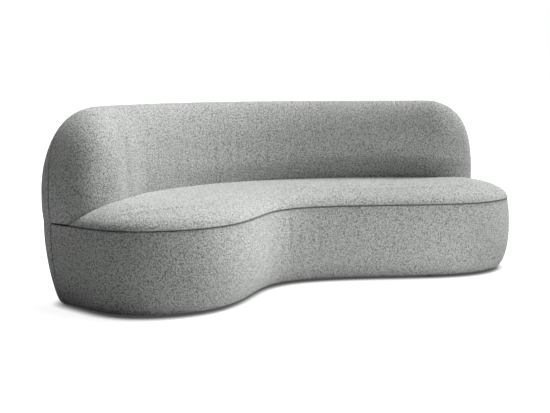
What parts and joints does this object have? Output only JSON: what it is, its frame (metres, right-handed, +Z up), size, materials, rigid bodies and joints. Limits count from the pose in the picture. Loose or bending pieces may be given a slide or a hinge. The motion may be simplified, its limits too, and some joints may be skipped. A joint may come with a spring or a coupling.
{
  "type": "curved sofa",
  "caption": "Upholstered sofa with a kidney-shaped plan, a tight crowned seat and one curved back that wraps round the rear and one end, on low glides.",
  "frame": {"origin": "on the floor, under the middle of the sofa's overall length and depth", "axes": "+X along the length towards the open right end, +Y towards the back, +Z up"},
  "size_m": [2.2992, 1.0862, 0.8],
  "materials": {
    "boucle": "light grey speckled boucle cloth",
    "foam": "cream upholstery foam",
    "felt": "grey needle felt",
    "lining": "black non-woven lining",
    "plywood": "bare birch plywood",
    "softwood": "bare planed softwood",
    "hardboard": "bare hardboard",
    "spring_steel": "oiled spring wire",
    "zinc_steel": "zinc plated",
    "black_plastic": "matt black moulded plastic"
  },
  "bodies": {
    "root": {"seat_cover": "boucle", "border_cover": "boucle", "inner_back_cover": "boucle", "outer_back_cover": "boucle", "dust_cover": "lining", "seat_foam": "foam", "seat_base_foam": "foam", "border_foam": "foam", "back_arch_foam_left": "foam", "back_arch_foam_right": "foam", "outer_back_foam": "foam", "nose_foam_block": "foam", "right_foam_block": "foam", "spring_felt": "felt", "bottom_ring": "plywood", "seat_deck_ring": "plywood", "back_top_rail": "plywood", "front_base_board": "hardboard", "rear_base_board": "hardboard", "outer_back_board": "hardboard", "inner_back_board": "hardboard", "post_1": "softwood", "post_2": "softwood", "post_3": "softwood", "post_4": "softwood", "post_5": "softwood", "post_6": "softwood", "post_7": "softwood", "post_8": "softwood", "back_rib_1": "plywood", "back_rib_2": "plywood", "back_rib_3": "plywood", "back_rib_4": "plywood", "back_rib_5": "plywood", "back_rib_6": "plywood", "seat_rail_1": "softwood", "seat_rail_2": "softwood", "seat_rail_3": "softwood", "floor_rail_1": "softwood", "floor_rail_2": "softwood", "floor_rail_3": "softwood", "zigzag_spring_1": "spring_steel", "zigzag_spring_2": "spring_steel", "zigzag_spring_3": "spring_steel", "zigzag_spring_4": "spring_steel", "zigzag_spring_5": "spring_steel", "zigzag_spring_6": "spring_steel", "zigzag_spring_7": "spring_steel", "glide_1": "black_plastic", "glide_2": "black_plastic", "glide_3": "black_plastic", "glide_4": "black_plastic", "glide_5": "black_plastic", "glide_6": "black_plastic", "glide_screw_1": "zinc_steel", "glide_screw_2": "zinc_steel", "glide_screw_3": "zinc_steel", "glide_screw_4": "zinc_steel", "glide_screw_5": "zinc_steel", "glide_screw_6": "zinc_steel"}
  },
  "joints": []
}
